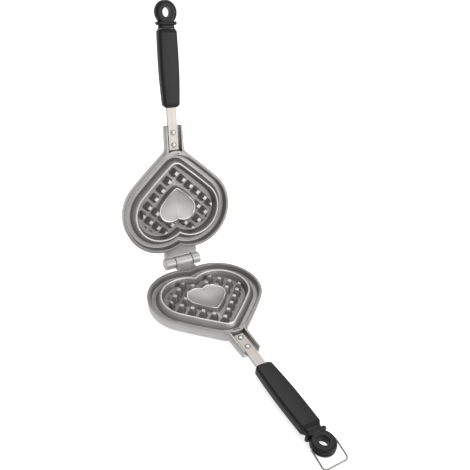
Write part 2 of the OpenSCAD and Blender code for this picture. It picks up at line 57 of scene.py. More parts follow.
def heart_rings(section, heart, tip_radius=None, lobe_steps=56, side_steps=14, tip_steps=14):
    """One closed heart outline for each (distance, height) in section.

    A lobe is a circle of radius lobe + distance about (apart, 0). Its end at the lean angle is
    joined by a straight side, swelled by a half sine wave, to the tip's own arc on the centre
    line, and the mirrored half closes the outline at the notch. The whole outline is then moved
    along Y by set_back.
    """
    section = np.asarray(section, float)
    d, z = section[:, :1], section[:, 1:]
    lean = np.radians(heart["lean"])
    lobe = heart["lobe"] + d
    tip = heart["tip"] + d if tip_radius is None else tip_radius + d
    reach = heart["apart"] * np.cos(lean) + lobe
    tip_y = -(reach - tip) / np.sin(lean)
    out = np.array([np.cos(lean), -np.sin(lean)])
    notch = np.arccos(-heart["apart"] / lobe)
    t = notch + (-lean - notch) * np.linspace(0, 1, lobe_steps + 1)
    lobe_x, lobe_y = heart["apart"] + lobe * np.cos(t), lobe * np.sin(t)
    s = np.linspace(0, 1, side_steps + 1)[1:-1]
    start_x, start_y = heart["apart"] + lobe * out[0], lobe * out[1]
    end_x, end_y = tip * out[0], tip_y + tip * out[1]
    swell = heart["swell"] * np.sin(np.pi * s)
    side_x = start_x + (end_x - start_x) * s + out[0] * swell
    side_y = start_y + (end_y - start_y) * s + out[1] * swell
    t = np.linspace(-lean, -np.pi / 2, tip_steps + 1)
    half_x = np.hstack([lobe_x, side_x, tip * np.cos(t)])
    half_y = np.hstack([lobe_y, side_y, tip_y + tip * np.sin(t)]) + heart["set_back"]
    half_x[:, 0] = half_x[:, -1] = 0.0
    x = np.hstack([-half_x, half_x[:, -2:0:-1]])
    y = np.hstack([half_y, half_y[:, -2:0:-1]])
    return np.stack([x, y, np.broadcast_to(z, x.shape)], axis=2)


def skin(rings, low, high):
    """Closed surface over rings of equal count, with a point at each end to close it."""
    m, n = rings.shape[:2]
    points = np.vstack([[low], rings.reshape(-1, 3), [high]])
    j = np.arange(n)
    k = (j + 1) % n
    i = 1 + n * np.arange(m - 1)[:, None]
    quads = np.stack([i + j, i + k, i + n + k, i + n + j], axis=2).reshape(-1, 4)
    last = 1 + n * (m - 1)
    caps = np.vstack([
        np.stack([np.zeros(n, int), 1 + k, 1 + j], axis=1),
        np.stack([np.full(n, m * n + 1), last + j, last + k], axis=1),
    ])
    return points, quads.tolist() + caps.tolist()


def together(*skins):
    """Several closed surfaces as one list of points and one of faces."""
    points, faces, start = [], [], 0
    for p, f in skins:
        points.append(p)
        faces += [[start + v for v in face] for face in f]
        start += len(p)
    return np.vstack(points), faces


def as_lower(points):
    """Casting millimetres to the lower half's place: up by the pan's depth, then to metres."""
    return (points + [0, 0, PAN_DEPTH]) * MM


def as_upper(points):
    """Turned over about Y, then swung back about the hinge line by the opening angle."""
    p = points * [-1, 1, -1] - [0, HINGE_BACK, 0]
    a = np.radians(-OPEN_ANGLE)
    y = p[:, 1] * np.cos(a) - p[:, 2] * np.sin(a) + HINGE_BACK
    z = p[:, 1] * np.sin(a) + p[:, 2] * np.cos(a) + PAN_DEPTH
    return np.stack([p[:, 0], y, z], axis=1) * MM


def piece(name, points, faces, sharp=38):
    """A new mesh object, smooth except at edges sharper than the given angle."""
    mesh = bpy.data.meshes.new(name)
    mesh.from_pydata(points.tolist(), [], faces)
    mesh.validate()
    mesh.polygons.foreach_set("use_smooth", np.ones(len(mesh.polygons), bool))
    mesh.set_sharp_from_angle(angle=np.radians(sharp))
    obj = bpy.data.objects.new(name, mesh)
    bpy.context.scene.collection.objects.link(obj)
    return obj


def worked(name, body, add=(), cut=()):
    """body joined with the closed surfaces in add, less those in cut, as points and faces."""
    base = piece(name + "_blank", *body)
    tools = []
    for kind, shapes in (("UNION", add), ("DIFFERENCE", cut)):
        for shape in shapes:
            tool = piece(name + "_tool", *shape)
            step = base.modifiers.new(kind, "BOOLEAN")
            step.operation, step.solver, step.object = kind, "MANIFOLD", tool
            tools.append(tool)
    bpy.context.view_layer.update()
    made = base.evaluated_get(bpy.context.evaluated_depsgraph_get()).to_mesh()
    co = np.empty(len(made.vertices) * 3)
    made.vertices.foreach_get("co", co)
    faces = [list(p.vertices) for p in made.polygons]
    for obj in tools + [base]:
        mesh = obj.data
        bpy.data.objects.remove(obj)
        bpy.data.meshes.remove(mesh)
    return co.reshape(-1, 3), faces


# Sections as distances outside a heart's outline and heights: outer wall, rim, ridge with the
# waffle heart's wall, and the centre heart's wall up to its lip.
outer = np.vstack([
    arc(RIM_REACH - WALL_DRAFT - FOOT_R, FOOT_R - PAN_DEPTH, FOOT_R, -90, 0, 10),
    arc(RIM_REACH - EDGE_R, -FACE_GAP - EDGE_R, EDGE_R, 0, 90, 5),
])
rim = np.vstack([
    arc(RIM_INNER + EDGE_R, -FACE_GAP - EDGE_R, EDGE_R, 90, 175, 5),
    arc(MOAT_OUTER - MOAT_FILLET, MOAT_FILLET - MOAT_DEPTH, MOAT_FILLET, -5, -90, 6),
])
ridge = np.vstack([
    arc(MOAT_INNER + RIDGE_FILLET, RIDGE_FILLET - MOAT_DEPTH, RIDGE_FILLET, -90, -150, 5),
    [[1.5, -1.3], [1.16, -0.95]],
    arc(0, -FACE_GAP - RIDGE_HALF, RIDGE_HALF, 30, 162, 9),
    [[-1.12, -1.1], [-1.3, -1.5]],
    arc(CAVITY_FOOT, CAVITY_FILLET - CAVITY_DEPTH, CAVITY_FILLET, -14, -90, 6),
])
boss = np.array([
    [3.2, -10.5], [2.7, -10.35], [2.3, -10.0], [2.0, -9.4], [0.75, -4.7], [0.6, -4.0],
    [0.42, -3.6], [0.15, -3.42], [-0.15, -3.4], [-0.45, -3.46], [-0.75, -3.62],
])
shell = np.concatenate([
    heart_rings(outer, WAFFLE_HEART),
    heart_rings(rim, WAFFLE_HEART, tip_radius=MOAT_TIP_R - RIM_INNER),
    heart_rings(ridge, WAFFLE_HEART),
    heart_rings(boss, CENTRE_HEART),
])

# The dish runs in from the lip's last point, and its outline turns rounder on the way. It sinks
# by an exponential step just inside the lip, and by 1 less a power of the way that is left.
DISH_Y, DISH_FLOOR, DISH_STEP, DISH_FALL, ROUND_R = -9.9, -6.6, 0.55, 2.4, 19.0
dish_middle = np.array([0.0, DISH_Y])
edge = heart_rings(boss[-1:], CENTRE_HEART)[0, :, :2]
shrink = np.linspace(0.97, 0.05, 22)[:, None, None]
spoke = edge - dish_middle
even = ROUND_R * spoke / np.linalg.norm(spoke, axis=1)[:, None]
rounder = 0.9 * (1 - shrink)
dish = dish_middle + shrink * (spoke * (1 - rounder) + even * rounder)
dish_z = (boss[-1, 1] - DISH_STEP * (1 - np.exp((shrink - 1) / 0.03))
          - DISH_FALL * (1 - shrink ** 1.6))
dish = np.concatenate([dish, np.broadcast_to(dish_z, dish.shape[:2] + (1,))], axis=2)
tray = skin(np.concatenate([shell, dish]), [0, DISH_Y, -PAN_DEPTH], [0, DISH_Y, DISH_FLOOR])


def outside(p, heart):
    """How far points lie outside a heart, the way straight out, and which face a side.

    Where a point faces a straight side, the distance is measured square to it. Elsewhere it is
    the distance from the lobe's centre, less its radius. The side's swell and the tip's arc are
    left out.
    """
    lean = np.radians(heart["lean"])
    x, y = np.abs(p[..., 0]), p[..., 1] - heart["set_back"]
    beside = (x - heart["apart"]) * np.sin(lean) + y * np.cos(lean) < 0
    flat = x * np.cos(lean) - y * np.sin(lean) - heart["apart"] * np.cos(lean) - heart["lobe"]
    far = np.hypot(x - heart["apart"], y) + 1e-9
    out = np.where(beside[..., None], [np.cos(lean), -np.sin(lean)],
                   np.stack([(x - heart["apart"]) / far, y / far], axis=-1))
    out[..., 0] *= np.where(p[..., 0] < 0, -1, 1)
    return np.where(beside, flat, far - heart["lobe"]), out, beside


STUD_PITCH, FIRST_STUD, STUD_MARGIN, STUD_SQUARE = 14.2, -52.23, 9.0, 0.16
LIP_CLEAR, SUNK = 0.35, -7.5


def stud_field():
    """Square studs on a grid turned 45 degrees, each a rounded frustum that narrows upwards.

    A stud's outline is a superellipse with its corners on the axes. Its half diagonal flares at
    the foot, falls in a straight line and rolls over at the top. What would pass the clear margin
    inside the lobes is pushed straight back to it, no higher than the stud's slope there, and
    what stands over the centre heart sinks.
    """
    step = STUD_PITCH / np.sqrt(2)
    i, j = np.meshgrid(np.arange(9), np.arange(9))
    centre = np.stack([step * (i - j), FIRST_STUD + step * (i + j)], axis=-1).reshape(-1, 2)
    centre = centre[(outside(centre, WAFFLE_HEART)[0] < -CAVITY_DRAFT)
                    & (outside(centre, CENTRE_HEART)[0] > np.where(centre[:, 1] > -2, -2, 0))]
    z = np.concatenate([[-11.1, -10.6, -10.3, -9.8, -8.5, -6, -3.5, -1.7, -1.2, -0.95, -0.83],
                        np.full(4, -0.8)])
    fall_z, fall_half = [-11.1, -10.3, -9.8, -1.2], [8.4, 7.4, 6.95, 3.4]
    half = np.interp(z, fall_z, fall_half)
    half[8:] = [3.4, 3.3, 3.15, 2.95, 1.9, 0.9, 0.2]
    t = np.linspace(0, 2 * np.pi, 40, endpoint=False) + np.pi / 4
    c, s = np.cos(t), np.sin(t)
    unit = np.stack([np.abs(c) ** STUD_SQUARE * np.sign(c),
                     np.abs(s) ** STUD_SQUARE * np.sign(s)], axis=1)
    turn = np.array([[1, 1], [-1, 1]]) / 2
    ring = (unit @ turn) * half[:, None, None]
    rings = centre[:, None, None, :] + ring[None]
    away, out, beside = outside(rings, WAFFLE_HEART)
    push = np.where(beside, 0, np.clip(away + STUD_MARGIN, 0, None))
    rings = rings - out * push[..., None]
    slope = np.interp(np.abs(rings - centre[:, None, None, :]).sum(axis=-1), fall_half[::-1],
                      fall_z[::-1])
    height = np.broadcast_to(z[None, :, None], rings.shape[:3])
    height = np.where(push > 0, np.minimum(height, slope), height)
    over = outside(rings, CENTRE_HEART)[0] < LIP_CLEAR
    height = np.where(over, np.minimum(height, SUNK), height)
    rings = np.concatenate([rings, height[..., None]], axis=3)
    return together(*[skin(r, r[0].mean(axis=0), r[-1].mean(axis=0)) for r in rings])


# The socket for the handle strap is cast in one with the tray's tip. Its channel is open
# above and at the far end, and an oblong recess lies in the rim ahead of it. Its face stands a
# hair above the rim's, so that the two don't lie in one plane.
CHANNEL_START, SOCKET_END, SOCKET_DEPTH = 82.7, 114.9, 10.2
CHANNEL_HALF, SOCKET_HALF, STRAP_FLOOR, FLARE = 9.55, 11.55, 7.6, 0.8
SOCKET_FACE, SOCKET_CORNER, SOCKET_FILLET, ROOT_SET = -0.08, 1.6, 10.0, 1.2
RECESS_SET, RECESS_TURN, RECESS_R, RECESS_DEPTH = 3.3, 8.5, 1.3, 1.3


def prism(outline, low, high, edge=0.0):
    """An outline carried straight up, each end drawn in by a quarter circle of radius edge."""
    outline = np.asarray(outline, float)
    middle = outline.mean(axis=0)
    ahead = np.roll(outline, -1, axis=0) - np.roll(outline, 1, axis=0)
    out = np.stack([ahead[:, 1], -ahead[:, 0]], axis=1)
    out /= np.linalg.norm(out, axis=1)[:, None] + 1e-9
    if edge:
        a = np.radians([0, 30, 60, 90])
        inset = np.concatenate([edge * (1 - np.sin(a)), edge * (1 - np.sin(a[::-1]))])
        z = np.concatenate([low + edge * (1 - np.cos(a)), high - edge * (1 - np.cos(a[::-1]))])
    else:
        inset, z = np.zeros(2), np.array([low, high])
    rings = outline[None] - out[None] * inset[:, None, None]
    rings = np.concatenate([rings, np.broadcast_to(z[:, None, None], rings.shape[:2] + (1,))], 2)
    return skin(rings, [*middle, low], [*middle, high])


lobe, apart, tip, lean = (WAFFLE_HEART[part] for part in ("lobe", "apart", "tip", "lean"))
tip_y = -(apart * np.cos(np.radians(lean)) + lobe - tip) / np.sin(np.radians(lean))
fillet_x = SOCKET_HALF + FLARE + SOCKET_FILLET
reach = tip + RIM_REACH + SOCKET_FILLET
fillet_y = tip_y - np.sqrt(reach ** 2 - fillet_x ** 2)
turned = np.degrees(np.arccos(fillet_x / reach))
flank = np.vstack([
    arc(SOCKET_HALF - SOCKET_CORNER, SOCKET_CORNER - SOCKET_END, SOCKET_CORNER, -90, 0, 6),
    arc(fillet_x, fillet_y, SOCKET_FILLET, 180, 180 - turned, 12),
    arc(0, tip_y, tip + RIM_REACH - ROOT_SET, -turned, -90, 10),
])
outline = np.vstack([flank, (flank * [-1, 1])[-2:0:-1]])
socket = prism(outline, -SOCKET_DEPTH, SOCKET_FACE, edge=0.5)
front_r = CHANNEL_START + tip_y
front_turn = np.degrees(np.arcsin(CHANNEL_HALF / front_r))
channel_front = arc(0, tip_y, front_r, front_turn - 90, -front_turn - 90, 12)
channel = prism(np.vstack([[[-CHANNEL_HALF, -SOCKET_END - 2], [CHANNEL_HALF, -SOCKET_END - 2]],
                           channel_front]), -STRAP_FLOOR, 2.0)
mid_r = front_r - RECESS_SET
side_x, side_y = mid_r * np.sin(np.radians(RECESS_TURN)), mid_r * np.cos(np.radians(RECESS_TURN))
oblong = np.vstack([
    arc(0, tip_y, mid_r + RECESS_R, -90 - RECESS_TURN, RECESS_TURN - 90, 8),
    arc(side_x, tip_y - side_y, RECESS_R, RECESS_TURN - 70, RECESS_TURN + 70, 8),
    arc(0, tip_y, mid_r - RECESS_R, RECESS_TURN - 90, -90 - RECESS_TURN, 8),
    arc(-side_x, tip_y - side_y, RECESS_R, 110 - RECESS_TURN, 250 - RECESS_TURN, 8)])
recess = prism(oblong, -RECESS_DEPTH, 1.0)

# The hinge is three knuckles on a steel pin: the lower casting has the middle one with a stop
# heel behind it, and the upper casting the outer two on a flat tab. They are cast with the
# trays, and only their bores and ends are machined.
BARREL_R, BARREL_HALF, TAB_HALF, TAB_DROP, TAB_GAP = 8.0, 26.0, 23.0, 0.6, 1.6
KNUCKLE_SHIFT, KNUCKLE_HALF, KNUCKLE_GAP, KNUCKLE_EDGE = 1.2, 12.25, 0.5, 1.0
GAP_LEFT, GAP_RIGHT = KNUCKLE_SHIFT - KNUCKLE_HALF, KNUCKLE_SHIFT + KNUCKLE_HALF
HEEL_SET, STOP_GAP, BORE_START, BORE_STOP, BORE_R = 2.5, 0.15, -22.25, 30.0, 2.55


def barrel(start, stop, edge=KNUCKLE_EDGE):
    """A knuckle turned about the hinge line, its ends rolled over by a quarter circle."""
    a = np.radians(np.linspace(0, 90, 6))
    r = np.concatenate([BARREL_R - edge * (1 - np.sin(a)), BARREL_R - edge * (1 - np.sin(a[::-1]))])
    x = np.concatenate([start + edge * (1 - np.cos(a)), stop - edge * (1 - np.cos(a[::-1]))])
    t = np.linspace(0, 2 * np.pi, 72, endpoint=False)
    rings = np.stack([np.broadcast_to(x[:, None], (len(x), 72)),
                      HINGE_BACK + r[:, None] * np.cos(t), r[:, None] * np.sin(t)], axis=2)
    return skin(rings, [start, HINGE_BACK, 0], [stop, HINGE_BACK, 0])


def tab(start, stop, edge_y):
    """The flat plate between rim and knuckle.

    Its root lies on the circle about each lobe's centre that runs just inside the pan's edge.
    """
    x = np.linspace(start, stop, 30)
    root = np.sqrt((lobe + RIM_REACH - 2 * EDGE_R) ** 2 - (np.abs(x) - apart) ** 2)
    outline = np.vstack([np.stack([x, root], axis=1), [[stop, edge_y], [start, edge_y]]])
    return prism(outline, -BARREL_R, -TAB_DROP, edge=0.3)


def rod(y, z, start, stop, radius, steps):
    """A plain round cutter along X between two distances, centred on the given y and z."""
    t = np.linspace(0, 2 * np.pi, steps, endpoint=False)
    ring = np.stack([np.zeros(steps), y + radius * np.cos(t), z + radius * np.sin(t)], axis=1)
    return skin(np.stack([ring + [start, 0, 0], ring + [stop, 0, 0]]), [start, y, z], [stop, y, z])


def flipped(shape):
    """Mirror image in X, with its faces turned to point outwards again."""
    points, faces = shape
    return points * [-1, 1, 1], [f[::-1] for f in faces]


lean_back = np.radians(OPEN_ANGLE - 90)
along = np.array([np.cos(lean_back), -np.sin(lean_back)])
square_to = np.array([np.sin(lean_back), np.cos(lean_back)])
top = square_to * (BARREL_R + TAB_GAP - STOP_GAP)
heel_side = np.array([[0, 0], top + along * HEEL_SET, top + along * BARREL_R,
                      [BARREL_R - EDGE_R / 2, -EDGE_R]])
points, faces = prism(heel_side[::-1], GAP_LEFT, GAP_RIGHT)
heel = (np.stack([points[:, 2], HINGE_BACK + points[:, 0], points[:, 1]], axis=1), faces)
bore = rod(HINGE_BACK, 0, BORE_START, BORE_STOP, BORE_R, 48)

lower_body = worked("lower", tray, cut=[channel, recess, bore],
                    add=[socket, tab(GAP_LEFT, GAP_RIGHT, HINGE_BACK),
                         barrel(GAP_LEFT, GAP_RIGHT), heel])
left_end, right_start = GAP_LEFT - KNUCKLE_GAP, GAP_RIGHT + KNUCKLE_GAP
upper_body = worked("upper", tray, cut=[channel, recess, flipped(bore)],
                    add=[socket, tab(-TAB_HALF, TAB_HALF, HINGE_BACK - BARREL_R - TAB_GAP),
                         flipped(tab(-TAB_HALF, left_end, HINGE_BACK)),
                         flipped(tab(right_start, TAB_HALF, HINGE_BACK)),
                         flipped(barrel(-BARREL_HALF, left_end)),
                         flipped(barrel(right_start, BARREL_HALF))])


def link(tree, source, target):
    """Joins one node's output to another node's input."""
    tree.links.new(source, target)


def new_material(name):
    """A new material, its node tree and its one shader."""
    mat = bpy.data.materials.new(name)
    mat.use_nodes = True
    return mat, mat.node_tree, mat.node_tree.nodes["Principled BSDF"]


def noise(tree, where, scale, detail=2):
    """Soft noise over the given coordinates, with scale as its cells in each metre."""
    node = tree.nodes.new("ShaderNodeTexNoise")
    node.inputs["Scale"].default_value = scale
    node.inputs["Detail"].default_value = detail
    link(tree, where, node.inputs["Vector"])
    return node.outputs["Fac"]


def toned(tree, fac, dark, light, start=0.0, stop=1.0):
    """A colour that goes in a straight line from dark to light as fac goes from start to stop."""
    ramp = tree.nodes.new("ShaderNodeValToRGB")
    for end, spot, tone in zip(ramp.color_ramp.elements, (start, stop), (dark, light)):
        end.position, end.color = spot, (*tone, 1)
    link(tree, fac, ramp.inputs["Fac"])
    return ramp.outputs["Color"]


def mixed(tree, colour, attribute, tone):
    """The colour mixed with a tone, by as much as the mesh's own attribute says."""
    amount = tree.nodes.new("ShaderNodeAttribute")
    amount.attribute_name = attribute
    mix = tree.nodes.new("ShaderNodeMix")
    mix.data_type = "RGBA"
    mix.inputs["B"].default_value = (*tone, 1)
    link(tree, amount.outputs["Fac"], mix.inputs["Factor"])
    link(tree, colour, mix.inputs["A"])
    return mix.outputs["Result"]


def grained(tree, shader, grain, smooth, rough, strength, height):
    """Roughness from smooth to rough and a bump of the height in metres, both by the grain."""
    gloss = tree.nodes.new("ShaderNodeMapRange")
    gloss.inputs["To Min"].default_value = smooth
    gloss.inputs["To Max"].default_value = rough
    link(tree, grain, gloss.inputs["Value"])
    link(tree, gloss.outputs["Result"], shader.inputs["Roughness"])
    relief = tree.nodes.new("ShaderNodeBump")
    relief.inputs["Strength"].default_value = strength
    relief.inputs["Distance"].default_value = height
    link(tree, grain, relief.inputs["Height"])
    link(tree, relief.outputs["Normal"], shader.inputs["Normal"])


def cast_aluminium(name, place):
    """Cast aluminium: fine grain in bump and gloss, broad grey clouds, painted light and shade.

    The attribute "rubbed" is 1 where light is painted on fully, and "skin" is 1 where painted
    shade is laid on fully in the hollows and a darker grey on the rim face. Place brings the
    object's coordinates back to the casting's own, so both pans carry their pattern the same way.
    """
    mat, tree, shader = new_material(name)
    where = tree.nodes.new("ShaderNodeTexCoord")
    turn = tree.nodes.new("ShaderNodeMapping")
    turn.inputs["Location"].default_value = place.to_translation()
    turn.inputs["Rotation"].default_value = place.to_quaternion().to_euler("XYZ")
    link(tree, where.outputs["Object"], turn.inputs["Vector"])
    clouds = noise(tree, turn.outputs["Vector"], 45, 5)
    colour = toned(tree, clouds, (0.28, 0.276, 0.268), (0.34, 0.335, 0.325), 0.3, 0.7)
    # Painted light: a light grey on ridge and stud tops, on the centre heart's lip and on walls
    # that lie in shade.
    colour = mixed(tree, colour, "painted_light", (0.66, 0.655, 0.64))
    # Painted shade: a dark grey laid into the hollows by "skin", darker the deeper and steeper the
    # surface, and a darker grey on the rim face.
    colour = mixed(tree, colour, "skin", (0.15, 0.147, 0.14))
    link(tree, colour, shader.inputs["Base Color"])
    grained(tree, shader, noise(tree, turn.outputs["Vector"], 1200, 3), 0.42, 0.6, 0.6, 0.0002)
    shader.inputs["Metallic"].default_value = 0.85
    return mat


# Shares of painted shade in the hollows, and of a darker grey on the rim face.
FLOOR_PAINTED_SHADE, STUD_PAINTED_SHADE, RIDGE_PAINTED_SHADE, MOAT_PAINTED_SHADE, RIM_GREY = 0.1, 0.5, 0.2, 0.38, 0.46
# Shares of painted light: highlights on tops and the lip, and light on walls that lie in shade.
RIDGE_PAINTED_LIGHT, STUD_PAINTED_LIGHT, CENTRE_PAINTED_LIGHT, WALL_PAINTED_LIGHT, BACK_PAINTED_LIGHT, CHANNEL_PAINTED_LIGHT = 0.75, 0.34, 0.45, 0.45, 0.26, 1.0


def painted_shade_and_rim_grey(points, normals, up):
    """How much painted shade, and on the rim face darker grey, there is at each point, from 0 to 1.

    Floors and walls each have a share of painted shade, mixed by steepness, which is the fall of
    the normal's upward part from 0.9 to 0.4. It grows with depth from 1 to 5 mm below the parting
    face and fades out across the rim's inner edge. Among the studs the floor has more, and the
    centre heart has none. From the rim outwards, what lies within 1.5 mm of the parting face has
    an even share of darker grey, up to the hinge.
    """
    away = outside(points[:, :2], WAFFLE_HEART)[0]
    within = np.clip(RIM_INNER + 1.0 - away, 0, 1)
    steep = np.clip((0.9 - normals @ up) / 0.5, 0, 1)
    deep = np.clip((-1.0 - points[:, 2]) / 4.0, 0, 1)
    floor = FLOOR_PAINTED_SHADE + STUD_PAINTED_SHADE * np.clip(-away / 3.0, 0, 1)
    wall = np.where(away < 2, RIDGE_PAINTED_SHADE, MOAT_PAINTED_SHADE)
    dished = outside(points[:, :2], CENTRE_HEART)[0] < 1.5
    grey = within * deep * np.where(dished, 0, floor * (1 - steep) + wall * steep)
    rim_face = (away > RIM_INNER - 0.5) & (points[:, 2] > -1.5) & (points[:, 1] < 58)
    return np.maximum(grey, RIM_GREY * rim_face)


def painted_light_share(points):
    """How much light is painted on at each point, from 0 to 1.

    Inside, the share of ridge and stud tops comes in from 1.1 to 0.85 mm below the parting
    face, the centre heart's lip is 1 and its wall has a share. Outside, the wall's share comes
    in from 0.3 to 0.8 mm below, but at the hinge it is less and holds at every height. The
    strap's channel has its own. Tops and lip get painted highlights, and the walls and the
    channel get painted light where they lie in shade.
    """
    away = outside(points[:, :2], WAFFLE_HEART)[0]
    core = outside(points[:, :2], CENTRE_HEART)[0]
    high = np.clip((points[:, 2] + 1.1) / 0.25, 0, 1)
    lip = np.clip((points[:, 2] + 3.75) / 0.2, 0, 1) * (np.abs(core) < 0.8)
    lower_wall = CENTRE_PAINTED_LIGHT * (core > 0) * (core < 2.4) * (points[:, 2] < -3.8)
    inner = np.maximum(high * np.where(away < -4, STUD_PAINTED_LIGHT, RIDGE_PAINTED_LIGHT),
                       np.maximum(lip, lower_wall))
    share = np.interp(points[:, 1], [50, 60], [WALL_PAINTED_LIGHT, BACK_PAINTED_LIGHT])
    wall = share * np.clip((-0.3 - points[:, 2]) / 0.5, points[:, 1] > 58, 1)
    channelled = (points[:, 1] < -84) & (np.abs(points[:, 0]) < 9.7)
    wall = np.where(channelled, CHANNEL_PAINTED_LIGHT, wall)
    return np.where(away < 2, inner, np.where(away > RIM_INNER + 2, wall, 0))


swing = (Matrix.Translation((0, HINGE_BACK * MM, PAN_DEPTH * MM))
         @ Matrix.Rotation(np.radians(-OPEN_ANGLE), 4, "X")
         @ Matrix.Translation((0, -HINGE_BACK * MM, 0)) @ Matrix.Rotation(np.pi, 4, "Y"))
studs = stud_field()
for half, body, place, metal in (
        ("lower", lower_body, as_lower,
         cast_aluminium("cast_lower", Matrix.Translation((0, 0, -PAN_DEPTH * MM)))),
        ("upper", upper_body, as_upper, cast_aluminium("cast_upper", swing.inverted()))):
    points, faces = together(body, studs)
    pan = piece(half + "_casting", place(points), faces)
    normals = np.empty(len(points) * 3)
    pan.data.vertex_normals.foreach_get("vector", normals)
    up = (place(np.array([[0, 0, 1.0]])) - place(np.zeros((1, 3))))[0] / MM
    # Painted shade and the rim's darker grey go into "skin", painted light into "rubbed".
    left = pan.data.attributes.new("skin", "FLOAT", "POINT")
    left.data.foreach_set("value", painted_shade_and_rim_grey(points, normals.reshape(-1, 3), up))
    painted_light = pan.data.attributes.new("painted_light", "FLOAT", "POINT")
    painted_light.data.foreach_set("value", painted_light_share(points))
    pan.data.materials.append(metal)
    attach(pan, half + "_half")
    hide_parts(half + "_plate")

# The straps, rivets, hinge pin and bail are plain mill-finish steel, with the shapes that the
# part gives them. The straps are rolled flat bar, so their grain runs along the handle. The
# rivets and the pin are bright, and the bail is drawn spring wire with a duller skin.


def steel(name, light, dark, rough, stretch):
    """Bright steel with faint lines: noise drawn out along each axis whose scale is small."""
    mat, tree, shader = new_material(name)
    where = tree.nodes.new("ShaderNodeTexCoord")
    turn = tree.nodes.new("ShaderNodeMapping")
    turn.inputs["Scale"].default_value = stretch
    link(tree, where.outputs["Object"], turn.inputs["Vector"])
    lines = noise(tree, turn.outputs["Vector"], 900, 4)
    link(tree, toned(tree, lines, dark, light, 0.35, 0.65), shader.inputs["Base Color"])
    grained(tree, shader, lines, rough - 0.06, rough + 0.08, 0.12, 0.0001)
    shader.inputs["Metallic"].default_value = 1.0
    return mat


strap_steel = steel("strap_steel", (0.40, 0.372, 0.35), (0.32, 0.297, 0.28), 0.5, (1, 0.04, 0.04))
rivet_steel = steel("rivet_steel", (0.42, 0.41, 0.40), (0.34, 0.33, 0.32), 0.3, (1, 1, 1))
pin_steel = steel("pin_steel", (0.74, 0.73, 0.72), (0.66, 0.65, 0.64), 0.28, (0.05, 1, 1))
bail_steel = steel("bail_steel", (0.22, 0.217, 0.21), (0.16, 0.158, 0.153), 0.34, (0.2, 0.2, 1))
finish = {"strap": strap_steel, "rivet": rivet_steel, "pin": pin_steel, "bail": bail_steel}
for name, obj in nodes.items():
    for word, mat in finish.items():
        if word in name:
            obj.data.materials.clear()
            obj.data.materials.append(mat)

# The grips are black phenolic, moulded with a flat face, a soft-edged side and a chamfered
# front end, and pushed over the strap's tail.
GRIP_START, GRIP_END, HANDLE_DROP, GRIP_HALF_T = 137.4, 228.9, 6.6, 6.3
FRONT_HALF, MIDDLE_HALF, REAR_HALF, WIDEST = 10.7, 12.6, 11.9, 0.55


def rounded_section(width, thick, radius, steps=7):
    """A rectangle with quarter-circle corners, anticlockwise seen from the handle's far end."""
    a = np.radians(np.linspace(0, 90, steps + 1))
    q = np.arange(4)[:, None]
    turn = a[None] + q * np.pi / 2
    sx = np.array([1, -1, -1, 1])[:, None]
    sz = np.array([1, 1, -1, -1])[:, None]
    width, thick, radius = (np.asarray(v, float)[:, None, None] for v in (width, thick, radius))
    x = sx * (width - radius) + radius * np.cos(turn)
    z = sz * (thick - radius) + radius * np.sin(turn)
    return x.reshape(len(width), -1), z.reshape(len(width), -1)


def handle_skin(v, width, thick, radius):
    """Rounded sections carried along the handle, each at its own distance from the pan."""
    x, z = rounded_section(width, thick, radius)
    y = np.broadcast_to(-np.asarray(v, float)[:, None], x.shape)
    rings = np.stack([x, y, z - HANDLE_DROP], axis=2)
    return skin(rings, [0, -v[0], -HANDLE_DROP], [0, -v[-1], -HANDLE_DROP])


def grip_width(s):
    """Half width along the grip: a quarter sine out to the middle, a quarter cosine back."""
    swell = np.sin(np.pi / 2 * np.clip(s / WIDEST, 0, 1))
    fall = np.cos(np.pi / 2 * np.clip((s - WIDEST) / (1 - WIDEST), 0, 1))
    return np.where(s < WIDEST, FRONT_HALF + (MIDDLE_HALF - FRONT_HALF) * swell,
                    REAR_HALF + (MIDDLE_HALF - REAR_HALF) * fall)


s = np.concatenate([[0, 0, 0.004, 0.012, 0.022, 0.033], np.linspace(0.06, 0.95, 26),
                    [0.972, 0.984, 0.992, 0.997, 1, 1]])
end_in = np.interp(s, [0, 0.033, 0.97, 1], [2.6, 0, 0, 1.7])
end_in[[0, -1]] += [1.0, 0.8]
thick_in = np.interp(s, [0, 0.033, 0.97, 1], [1.9, 0, 0, 1.3])
thick_in[[0, -1]] += [0.8, 0.6]
radius = np.interp(s, [0, 0.033, 0.95, 1], [2.6, 3.6, 3.6, 3.2])
grip = handle_skin(GRIP_START + s * (GRIP_END - GRIP_START), grip_width(s) - end_in,
                   GRIP_HALF_T - thick_in, radius)


def phenolic(name, tone, rough):
    """Satin black moulding: even colour, very fine orange peel in gloss and bump."""
    mat, tree, shader = new_material(name)
    where = tree.nodes.new("ShaderNodeTexCoord").outputs["Object"]
    colour = toned(tree, noise(tree, where, 60), [c * 0.85 for c in tone],
                   [c * 1.15 for c in tone])
    link(tree, colour, shader.inputs["Base Color"])
    grained(tree, shader, noise(tree, where, 700, 3), rough - 0.05, rough + 0.06, 0.1, 0.0001)
    shader.inputs["Specular IOR Level"].default_value = 0.22
    return mat


black = phenolic("grip_black", (0.003, 0.003, 0.0032), 0.42)
for half, place in (("lower", as_lower), ("upper", as_upper)):
    obj = piece(half + "_moulded_grip", place(grip[0]), grip[1], sharp=50)
    obj.data.materials.append(black)
    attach(obj, half + "_half")
    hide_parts(half + "_grip")

